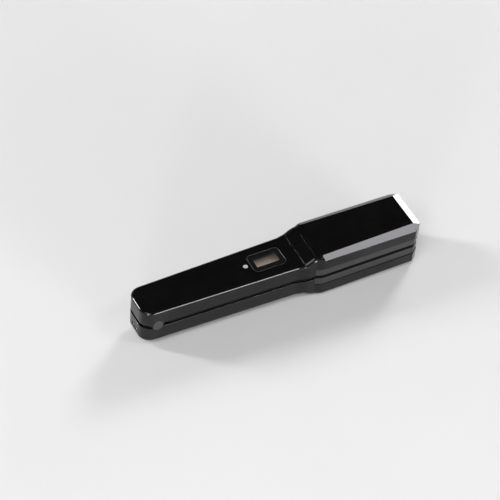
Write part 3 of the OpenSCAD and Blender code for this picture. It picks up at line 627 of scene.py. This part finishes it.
LIP = 0.22          # rounding of a shell's rim
SEAM_LIP = 0.07     # rounding of the tight seams between shells
TIP_LIP = 0.2       # rounding round the head's front end


def end_lips(x_end, forward, r):
    """Stations that round an end: (x, how far inside the surface)."""
    return [(x_end - forward * r * (1 - math.sin(math.radians(a))), r * (1 - math.cos(math.radians(a))))
            for a in (90, 60, 30, 0)]


def shell_profile(x, inside):
    """Half section from the rim up to the flat top's edge: (how far in, z), with the rim rounded."""
    top = arm_top(x) - inside
    side = [(inside + LIP * (1 - math.sin(math.radians(a))), FACE_Z + LIP * (1 - math.cos(math.radians(a))))
            for a in (0, 30, 60, 90)]
    return side + [(inside + step, top - fall) for step, fall in round_edge(round_r(x) - inside / 2)]


def handle_stations():
    """(x, y, direction in, inside) along one side, from the collar to the rear end's flat."""
    out = [(x, full_half_w(x), (0, -1), i) for x, i in end_lips(COLLAR_X, 1, SEAM_LIP)]
    xs = [130.4, 129.6, 128.8, 128, 127.2, 126.4, 125.6, 124.8, 124, 122, 118, 112, 100, 85, 70, 55, 40, 25, 15]
    out += [(x, full_half_w(x), (0, -1), 0) for x in xs]
    for k in range(13):
        a = math.radians(90 * k / 12)
        x = REAR_R * (1 - math.sin(a))
        out.append((x, full_half_w(x) - REAR_R * (1 - math.cos(a)), (math.sin(a), -math.cos(a)), 0))
    return out


def handle_shell(name, side, cutters):
    stations = handle_stations()
    rear_y = stations[-1][1]
    flat_rear = [(0, mix(rear_y, -rear_y, k / ACROSS), (1, 0), 0) for k in range(1, ACROSS)]
    contour = stations + flat_rear + [(x, -y, (dx, -dy), i) for x, y, (dx, dy), i in reversed(stations)]
    verts = []
    count = 0
    for x, y, (dx, dy), inside in contour:
        profile = shell_profile(x, inside)
        count = len(profile)
        verts += [(x + dx * step, y + dy * step, z) for step, z in profile]
    faces = loft_faces(count, len(contour), closed=False)
    top = [j * count + count - 1 for j in range(len(contour))]
    rows = []
    for j in range(len(stations) - 1):
        a, b = verts[top[j]], verts[top[-1 - j]]
        inner = []
        for k in range(1, ACROSS):
            inner.append(len(verts))
            verts.append(tuple(mix(a[m], b[m], k / ACROSS) for m in range(3)))
        rows.append([top[j], *inner, top[-1 - j]])
    rear = len(stations) - 1
    rows.append(top[rear:rear + ACROSS + 1])
    for near, far in zip(rows, rows[1:]):
        faces += [(near[k], near[k + 1], far[k + 1], far[k]) for k in range(ACROSS)]
    ob = mesh_object(name, verts, faces, GLOSS, side)
    solidify(ob, WALL)
    cut(ob, cutters)
    return smooth(ob)


def hinge_notch(gap):
    return cross_cylinder("cut_notch", HINGE_X, 0, CAP_D / 2 + gap, -REAR_W, REAR_W, GLOSS)


THROUGH_TOP = (12, 16)  # from and to heights of a cutter that passes through the handle's top
display_cut = prism("cut_display", round_rect(DISPLAY_X, DISPLAY_L, DISPLAY_W, DISPLAY_R), *THROUGH_TOP, GLOSS)
led_cut = prism("cut_led", circle(LED_X, 0, LED_D / 2 + SEAT_GAP), *THROUGH_TOP, GLOSS)
upper_shell = handle_shell("upper_handle_skin", UP, [hinge_notch(SLIDE_GAP), display_cut, led_cut])
finish_piece(upper_shell, "upper_arm", "gloss_black", "upper_handle_shell")

slot_cut = prism("cut_slot", box_outline(LOCK_X - LOCK_POST_L / 2 - SLIDE_GAP,
                                         LOCK_X + LOCK_POST_L / 2 + LOCK_TRAVEL + SLIDE_GAP,
                                         LOCK_POST_W / 2 + SLIDE_GAP), *(-z for z in THROUGH_TOP), GLOSS)


def socket_outline(gap, n=12):
    """(y, z) round the charging socket, grown by gap."""
    r = SOCKET_H / 2 + gap
    flat = (SOCKET_W - SOCKET_H) / 2
    pts = [(flat + r * math.cos(a), r * math.sin(a))
           for a in (math.radians(-90 + 180 * k / n) for k in range(n + 1))]
    return [(y, z + SOCKET_Z) for y, z in pts] + [(-y, -z + SOCKET_Z) for y, z in pts]


def along_x(name, outline, x0, x1, material):
    verts = [(x, y, z) for x in (x0, x1) for y, z in outline]
    return mesh_object(name, verts, closed_faces(len(outline)), material)


socket_cut = along_x("cut_socket", socket_outline(2 * SEAT_GAP), -1, 3, GLOSS)
lower_shell = handle_shell("lower_handle_skin", DOWN, [hinge_notch(SEAT_GAP), slot_cut, socket_cut])
finish_piece(lower_shell, "lower_arm", "gloss_black", "lower_handle_shell")


# ---- neck collars ----

def ring_section(x, inside):
    """Whole section of an arm at x, from one rim over the top to the other."""
    half = [(x, full_half_w(x) - step, z) for step, z in shell_profile(x, inside)]
    return half + [(px, -py, pz) for px, py, pz in reversed(half)]


def collar(name, side):
    stations = end_lips(COLLAR_X, -1, SEAM_LIP)
    stations += [(x, 0) for x in (131.9, 132.6, 133.3, 134.2, 135.2, 136.2, 137.2, 138.2, 139, 139.5)]
    stations += reversed(end_lips(SEAM_X, 1, SEAM_LIP))
    rings = [ring_section(x, i) for x, i in stations]
    n = len(rings[0])
    ob = mesh_object(name, [p for ring in rings for p in ring], loft_faces(n, len(rings), closed=False), GLOSS, side)
    solidify(ob, WALL)
    return smooth(ob)


for name, side, body in (("upper_neck_skin", UP, "upper_arm"), ("lower_neck_skin", DOWN, "lower_arm")):
    finish_piece(collar(name, side), body, "gloss_black", name.replace("skin", "collar"))


# ---- head covers: rounded shoulders, then flat bevels with small broken edges ----

def bend(x, x0, slope, reach=0.3):
    """A slope that starts at x0 and eases in over reach on either side."""
    u = x - x0
    return 0 if u <= -reach else slope * u if u >= reach else slope * (u + reach) ** 2 / (4 * reach)


END_K, CORNER_K = END_DROP / END_LEN, (HEAD_W - TIP_W) / 2 / END_LEN


def side_bevel(x):
    """Run and drop of the side bevel: past the end bevel's start it keeps its slant and runs out."""
    run = (HEAD_W - mix(TOP_REAR_W, TOP_FRONT_W, along_bevel(x))) / 2
    drop = mix(BEVEL_REAR_DROP, BEVEL_FRONT_DROP, along_bevel(x))
    left = 1 - bend(x, END_X, (CORNER_K + END_K * run / drop) / run)
    return max(run * left, TIP_BREAK), max(drop * left, TIP_BREAK)


def head_section(x, inside, slant=0.0):
    """Whole section of the head at x. slant leans the section, so that its top lies behind its sides."""
    half_w = full_half_w(x) - bend(x, END_X, CORNER_K) - inside
    top = arm_top(x) - bend(x, END_X, END_K) - inside
    if x < BEVEL_X:
        edge = round_edge(round_r(x) - inside / 2)
    else:
        run, drop = side_bevel(x)
        edge = bevel_edge(run, drop, min(0.3, drop / 3))
    foot = [(LIP * (1 - math.sin(math.radians(a))), CARRIER_Z + LIP * (1 - math.cos(math.radians(a))))
            for a in (0, 45, 90)]
    half = []
    for k, (step, z) in enumerate(foot + [(step, top - fall) for step, fall in edge]):
        lean = slant * (1 - 2 * max(k - len(foot), 0) / EDGE_N)
        half.append((x + lean, half_w - step, z))
    return half + [(px, -py, pz) for px, py, pz in reversed(half)]


def head_cover(name, side):
    sections = [head_section(x, i) for x, i in end_lips(SEAM_X, -1, SEAM_LIP)]
    sections += [head_section(x, 0) for x in (140.8, 141.5, 142.2, 142.9, 143.5)]
    sections.append(head_section(BEVEL_X - BEVEL_LEAD, 0, 0.35))
    sections.append(head_section(BEVEL_X, 0, 1.05))
    sections += [head_section(x, 0) for x in (152, 170, 190, 210, 222, 224.1, 224.25, END_X, 224.55, 224.7, 226,
                                              227.6, 228.55, 228.7, 229.6)]
    sections += [head_section(x, i) for x, i in reversed(end_lips(LENGTH, 1, TIP_LIP)[:-1])]
    n = len(sections[0])
    verts = [p for s in sections for p in s]
    faces = loft_faces(n, len(sections), closed=False)
    faces.append(tuple(reversed(range(len(verts) - n, len(verts)))))
    ob = mesh_object(name, verts, faces, GLOSS, side)
    solidify(ob, HEAD_WALL)
    return smooth(ob, 24)


for name, side, body in (("upper_head_skin", UP, "upper_arm"), ("lower_head_skin", DOWN, "lower_arm")):
    finish_piece(head_cover(name, side), body, "gloss_black", name.replace("skin", "cover"))


# ---- pieces whose solids have the right shape: the same solid with its edges broken ----

def softened(node, name, body, slot, width, segments=2):
    """A node's solid with its edges rounded to width."""
    mesh = frame["nodes"][node].data.copy()
    bm = bmesh.new()
    bm.from_mesh(mesh)
    bmesh.ops.remove_doubles(bm, verts=bm.verts, dist=2e-6)
    bmesh.ops.dissolve_limit(bm, angle_limit=math.radians(1), verts=bm.verts, edges=bm.edges)
    bm.to_mesh(mesh)
    bm.free()
    mesh.name = name
    ob = new_object(name, mesh, MATERIALS[slot])
    bevel(ob, width, segments)
    return finish_piece(smooth(ob, 35), body, slot, node)


for arm in ("upper", "lower"):
    softened(f"{arm}_inner_cover", f"{arm}_inner_panel", f"{arm}_arm", "satin_black", 0.2)
    softened(f"{arm}_plate_carrier", f"{arm}_carrier_body", f"{arm}_arm", "carrier_black", 0.3)
    softened(f"{arm}_plate", f"{arm}_plate_body", f"{arm}_plate_unit", "plate_dark", 0.35, 3)
    softened(f"{arm}_hinge_bracket", f"{arm}_bracket_body", f"{arm}_arm", "bracket_steel", 0.15)
softened("lock_slider", "lock_thumb_piece", "lock", "button_black", 0.16)
softened("charge_socket", "socket_shell", "lower_arm", "steel", 0.06, 1)


# ---- pieces that bend or are pressed together ----

def node_copy(node, name):
    """A node's own mesh, as a piece that may change its shape with a joint."""
    slot = next(entry["material_slot"] for entry in frame["record"]["subparts"] if entry["node"] == node)
    mesh = frame["nodes"][node].data.copy()
    mesh.name = name
    ob = smooth(new_object(name, mesh, MATERIALS[slot]), 35)
    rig.slot(ob, slot)
    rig.replaces(ob, node)
    return ob


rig.blend(node_copy("hinge_wires", "hinge_loom"), "lower_arm", "upper_arm",
         row((HINGE_X, 0, -FACE_Z)), row((HINGE_X, 0, FACE_Z)))

for arm, fixed_end in (("upper", max), ("lower", min)):
    coils = node_copy(f"{arm}_plate_springs", f"{arm}_plate_coils")
    heights = [v.co.z for v in coils.data.vertices]
    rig.ride(coils, f"{arm}_arm")
    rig.squash(coils, f"{arm}_plate_float", (0, 0, 1), (0, 0, fixed_end(heights)),
              keep=1 - PLATE_TRAVEL / 1000 / (max(heights) - min(heights)))


# ---- display ----

def ring_stack(rings, material, name, closed_ends=True):
    """Solid through closed rings of equal count. Without closed ends, the last ring joins the first."""
    n = len(rings[0])
    verts = [p for ring in rings for p in ring]
    if closed_ends:
        return mesh_object(name, verts, closed_faces(n, len(rings)), material)
    last = len(verts) - n
    back_round = [(last + k, last + (k + 1) % n, (k + 1) % n, k) for k in range(n)]
    return mesh_object(name, verts, loft_faces(n, len(rings)) + back_round, material)


def rect_ring(inset, z):
    return [(x, y, z) for x, y in round_rect(DISPLAY_X, DISPLAY_L - 2 * inset, DISPLAY_W - 2 * inset,
                                             DISPLAY_R - inset, 12)]


RIM_PROUD = 0.1
RIM_SEEN = 0.5      # width of the rim that stands round the pane
RIM_FOOT_Z = 12.6
rim = [rect_ring(SEAT_GAP, RIM_FOOT_Z)]
for k in range(7):
    a = math.radians(180 * k / 6)
    half = (RIM_SEEN - SEAT_GAP) / 2
    rim.append(rect_ring(SEAT_GAP + half - half * math.cos(a), HANDLE_T - 0.1 + (RIM_PROUD + 0.1) * math.sin(a)))
rim.append(rect_ring(RIM_SEEN, RIM_FOOT_Z))
bezel = ring_stack(rim, MATERIALS["bezel_grey"], "display_rim", closed_ends=False)
finish_piece(smooth(bezel, 40), "upper_arm", "bezel_grey", "display_bezel")

pane_in = RIM_SEEN + 0.02   # how far inside the rim's outline the pane starts
window = ring_stack([rect_ring(pane_in, HANDLE_T - WINDOW_T), rect_ring(pane_in, HANDLE_T - 0.22),
                     rect_ring(pane_in + 0.06, HANDLE_T - 0.09), rect_ring(pane_in + 0.22, HANDLE_T - 0.03)],
                    MATERIALS["window_grey"], "display_pane")
finish_piece(smooth(window, 40), "upper_arm", "window_grey", "display_window")

LCD_X0, LCD_X1, LCD_HALF_W = 97.8, 116.6, 4.4
lcd_mid, lcd_long = (LCD_X0 + LCD_X1) / 2, LCD_X1 - LCD_X0


def lcd_ring(inset, z):
    return [(x, y, z) for x, y in round_rect(lcd_mid, lcd_long - 2 * inset, 2 * (LCD_HALF_W - inset), 0.5, 4)]


lcd = ring_stack([lcd_ring(0, HANDLE_T - 0.2), lcd_ring(0, HANDLE_T - 0.02), lcd_ring(0.04, HANDLE_T - 0.005)],
                 MATERIALS["lcd_grey"], "display_cell")
finish_piece(smooth(lcd, 40), "upper_arm", "lcd_grey", "lcd_module")

DOME_FOOT, DOME_H = -0.05, 0.27     # of the lens, from the handle's top
dome = [(LED_D / 2, -1.8), (LED_D / 2, DOME_FOOT)]
dome += [(LED_D / 2 * math.cos(math.radians(a)), DOME_FOOT + DOME_H * math.sin(math.radians(a)))
         for a in (15, 30, 45, 60, 75, 86)]
verts, faces = lathe(dome)
lens = mesh_object("indicator_lens", moved(verts, LED_X, 0, HANDLE_T), faces, MATERIALS["lens_white"])
finish_piece(smooth(lens, 40), "upper_arm", "lens_white", "led_lens")


# ---- buttons, with generic symbols ----

SYMBOL_SUNK, SYMBOL_PROUD = 0.05, 0.04


def button(name, node, body, k, d, shapes):
    x = DISPLAY_X + k * BUTTON_PITCH
    softened(node, name, body, "button_black", 0.25, 3)
    parts = []
    for outline in shapes:
        verts = [(x + px, py, z) for z in (BUTTON_Z + SYMBOL_SUNK, BUTTON_Z - SYMBOL_PROUD) for px, py in outline]
        parts.append((verts, closed_faces(len(outline))))
    verts, faces = joined(parts)
    symbol = mesh_object(f"{name}_symbol", verts, faces, PRINT)
    finish_piece(symbol, body, "button_black")


def arc_band(r0, r1, a0, a1, n=28):
    angles = [math.radians(mix(a0, a1, k / n)) for k in range(n + 1)]
    return [(r1 * math.cos(a), r1 * math.sin(a)) for a in angles] + \
        [(r0 * math.cos(a), r0 * math.sin(a)) for a in reversed(angles)]


def bar(half_x, half_y, cx=0.0, cy=0.0):
    return [(cx + sx * half_x, cy + sy * half_y) for sx, sy in ((-1, -1), (1, -1), (1, 1), (-1, 1))]


PLUS = [(-1.3, -0.22), (-0.22, -0.22), (-0.22, -1.3), (0.22, -1.3), (0.22, -0.22), (1.3, -0.22),
        (1.3, 0.22), (0.22, 0.22), (0.22, 1.3), (-0.22, 1.3), (-0.22, 0.22), (-1.3, 0.22)]
button("power_key_cap", "power_button", "power_key", 0, 6.4,
       [arc_band(1.25, 1.65, 35, 325), bar(0.75, 0.2, 1.25)])
button("plus_key_cap", "plus_button", "plus_key", 1, 5.2, [PLUS])
button("minus_key_cap", "minus_button", "minus_key", -1, 5.2, [bar(0.22, 1.3)])


# ---- screws with cross recesses ----

def screw_template(shank):
    """Screw with its head's outer face at z 0 and its shank up, as a mesh cut by a cross."""
    r = SCREW_HEAD_D / 2
    profile = [(1.2, 0), (r - 0.35, 0.02), (r - 0.12, 0.1), (r, 0.3), (r, SCREW_HEAD_T), (SCREW_D / 2, SCREW_HEAD_T),
               (SCREW_D / 2, SCREW_HEAD_T + shank - 0.4), (SCREW_D / 2 - 0.4, SCREW_HEAD_T + shank)]
    verts, faces = lathe(profile, 32)
    ob = mesh_object("screw", verts, faces, MATERIALS["steel"])
    arms = []
    for length, width in ((2.5, 0.55), (0.55, 2.5)):
        tip_l, tip_w = max(length - 0.9, 0.3), max(width - 0.9, 0.3)
        low = [(x, y, -0.2) for x, y in bar(length / 2, width / 2)]
        deep = [(x, y, 0.65) for x, y in bar(tip_l / 2, tip_w / 2)]
        arms.append(mesh_object("cut_cross", low + deep, closed_faces(4), MATERIALS["steel"]))
    cut(ob, arms)
    return ob


def screws(name, node, body, rows, z_face, shank, side):
    template = screw_template(shank)
    origin = row((0, 0, 0))
    bm = bmesh.new()
    for x, y in [(x, s * y) for x, y in rows for s in (-1, 1)]:
        copy = template.data.copy()
        turn = Matrix.Rotation(0.7 * x + y, 4, "Z")
        copy.transform(Matrix.Translation(row((x, y, side * z_face))) @ Matrix.Diagonal((1, 1, side, 1)) @ turn
                       @ Matrix.Translation(-origin))
        bm.from_mesh(copy)
        bpy.data.meshes.remove(copy)
    bmesh.ops.recalc_face_normals(bm, faces=bm.faces)
    mesh = bpy.data.meshes.new(name)
    bm.to_mesh(mesh)
    bm.free()
    bpy.data.objects.remove(template)
    finish_piece(smooth(new_object(name, mesh, MATERIALS["steel"]), 35), body, "steel", node)


for arm, side in (("upper", UP), ("lower", DOWN)):
    screws(f"{arm}_shell_screw_set", f"{arm}_shell_screws", f"{arm}_arm", SHELL_SCREWS, FACE_Z + 0.05, SCREW_L, side)
    screws(f"{arm}_head_screw_set", f"{arm}_head_screws", f"{arm}_arm", HEAD_SCREWS,
           CARRIER_Z - SCREW_L / 2 - SCREW_HEAD_T, 1.4 * SCREW_L, side)


# ---- hinge caps ----

def hinge_cap(out_y):
    """Cap over one end of the pin: rounded rim and a shallow dish."""
    thick = out_y - CAP_IN_Y
    r, rim_r = CAP_D / 2, 0.45
    profile = [(r - 0.4, 0), (r, 0), (r, thick - rim_r)]
    profile += [(r - rim_r * (1 - math.cos(math.radians(a))), thick - rim_r + rim_r * math.sin(math.radians(a)))
                for a in (30, 60, 90)]
    profile += [(r - 1.1, thick), (r - 1.35, thick - 0.18), (0.2, thick - 0.22)]
    return lathe(profile, 64)


parts = []
cap_y = full_half_w(HINGE_X)
for s in (-1, 1):
    verts, faces = hinge_cap(cap_y)
    parts.append(([(HINGE_X + vx, s * (CAP_IN_Y + vz), vy) for vx, vy, vz in verts], faces))
verts, faces = joined(parts)
finish_piece(smooth(mesh_object("hinge_cap_pair", verts, faces, MATERIALS["satin_black"]), 35),
             "lower_arm", "satin_black", "hinge_caps")


# ---- floor, lights, camera ----

FLOOR_GAP = 0.0002  # keeps the floor from lying in the plane of the lower arm's back


def floor_material():
    n = Nodes("studio_floor")
    cloud = n.noise(3.0, 4)
    tooth = n.noise(900, 3)
    return n.set(Base_Color=n.blend(n.spread(cloud, 0, 1), (0.83, 0.825, 0.83), (0.86, 0.855, 0.86)),
                 Roughness=n.spread(tooth, 0.75, 0.9), Normal=n.bump(tooth, 0.03, 0.2))


def floor():
    """Round floor that curves up into a wall far out, in metres."""
    flat_r, curve_r, wall_h = 3, 1.5, 4
    rings = [(r, 0) for r in (0.15, 0.4, 0.8, 1.4, 2.2, flat_r)]
    rings += [(flat_r + curve_r * math.sin(math.radians(a)), curve_r * (1 - math.cos(math.radians(a))))
              for a in (15, 30, 45, 60, 75, 90)]
    rings.append((flat_r + curve_r, wall_h))
    n = 72
    verts = [(r * math.cos(2 * math.pi * k / n), r * math.sin(2 * math.pi * k / n), z - FLOOR_GAP)
             for r, z in rings for k in range(n)]
    mesh = bpy.data.meshes.new("floor")
    mesh.from_pydata(verts, [], loft_faces(n, len(rings)) + [tuple(reversed(range(n)))])
    ob = new_object("floor", mesh, floor_material())
    mesh.shade_smooth()
    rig.stage(ob)


def softbox(name, direction, along, size, radiance, distance=2.5, target=(0, 0, 0.03), tint=(1, 1, 1)):
    """Area light of that radiance, facing target from direction, in metres. size is its width and its length,
    which runs along."""
    data = bpy.data.lights.new(name, "AREA")
    data.shape = "RECTANGLE"
    data.size, data.size_y = size
    data.energy = radiance * math.pi * size[0] * size[1]
    data.color = tint
    ob = bpy.data.objects.new(name, data)
    ob.visible_camera = False
    away = Vector(direction).normalized()
    across = Vector(along).cross(away).normalized()
    length = away.cross(across)
    place = Vector(target) + away * distance
    ob.matrix_world = Matrix((
        (across.x, length.x, away.x, place.x),
        (across.y, length.y, away.y, place.y),
        (across.z, length.z, away.z, place.z),
        (0, 0, 0, 1)))
    bpy.context.scene.collection.objects.link(ob)


floor()
softbox("bevel_box", (0.432, -0.440, 0.804), (0, -0.877, -0.48), (0.34, 0.6), 10.4, target=(0.07, -0.019, 0.038),
        tint=(0.975, 0.95, 1.0))
softbox("tip_box", (0.703, 0.570, 0.426), (0, 0, 1), (0.6, 0.6), 26, target=(0.112, 0, 0.039))
softbox("near_low_strip", (0.31, -0.948, 0.072), (0, 0, 1), (0.6, 0.25), 48, 1.6, (-0.055, -0.015, 0.034))
softbox("corner_lamp", (-0.60, -0.793, 0.08), (0, 0, 1), (0.22, 0.22), 90, 1.6, (-0.112, -0.014, 0.034))
softbox("rear_strip", (-0.678, 0.596, 0.431), (0, 0, 1), (0.26, 0.8), 42, target=(-0.1145, 0, 0.0345))
softbox("overhead_fill", (-0.45, -0.35, 0.82), (0, 1, 0), (1.4, 1.4), 3.6)


def studio_world():
    """Dim room with a pale band at the horizon, which low views see behind the floor."""
    world = bpy.data.worlds.new("studio")
    world.use_nodes = True
    tree = world.node_tree
    coord = tree.nodes.new("ShaderNodeTexCoord")
    split = tree.nodes.new("ShaderNodeSeparateXYZ")
    level = tree.nodes.new("ShaderNodeMapRange")
    level.inputs["From Min"].default_value = 0.10
    level.inputs["From Max"].default_value = 0.35
    level.inputs["To Min"].default_value = 0.85
    level.inputs["To Max"].default_value = 0.05
    tree.links.new(coord.outputs["Generated"], split.inputs["Vector"])
    tree.links.new(split.outputs["Z"], level.inputs["Value"])
    tree.links.new(level.outputs["Result"], tree.nodes["Background"].inputs["Strength"])
    tree.nodes["Background"].inputs["Color"].default_value = (1, 1, 1, 1)
    bpy.context.scene.world = world


studio_world()

SENSOR, FOCAL_PIXELS, PICTURE_PIXELS = 36, 2340.7, 500
CAMERA_AT = (-0.63640, -1.01457, 1.29791)
forward = Vector((0.35695, 0.58973, -0.72443)).normalized()
right = forward.cross(Vector((0.29457, 0.66489, 0.68640))).normalized()
above = right.cross(forward)
camera_data = bpy.data.cameras.new("camera")
camera_data.sensor_width = SENSOR
camera_data.lens = FOCAL_PIXELS * SENSOR / PICTURE_PIXELS
camera = bpy.data.objects.new("camera", camera_data)
camera.matrix_world = Matrix((
    (right.x, above.x, -forward.x, CAMERA_AT[0]),
    (right.y, above.y, -forward.y, CAMERA_AT[1]),
    (right.z, above.z, -forward.z, CAMERA_AT[2]),
    (0, 0, 0, 1)))
bpy.context.scene.collection.objects.link(camera)
bpy.context.scene.camera = camera
bpy.context.scene.view_settings.view_transform = "Standard"

with open("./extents.json", "w") as out:
    json.dump({"cad": [list(v) for v in CAD_BOX], "visual": [list(v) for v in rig.bounds()]}, out)
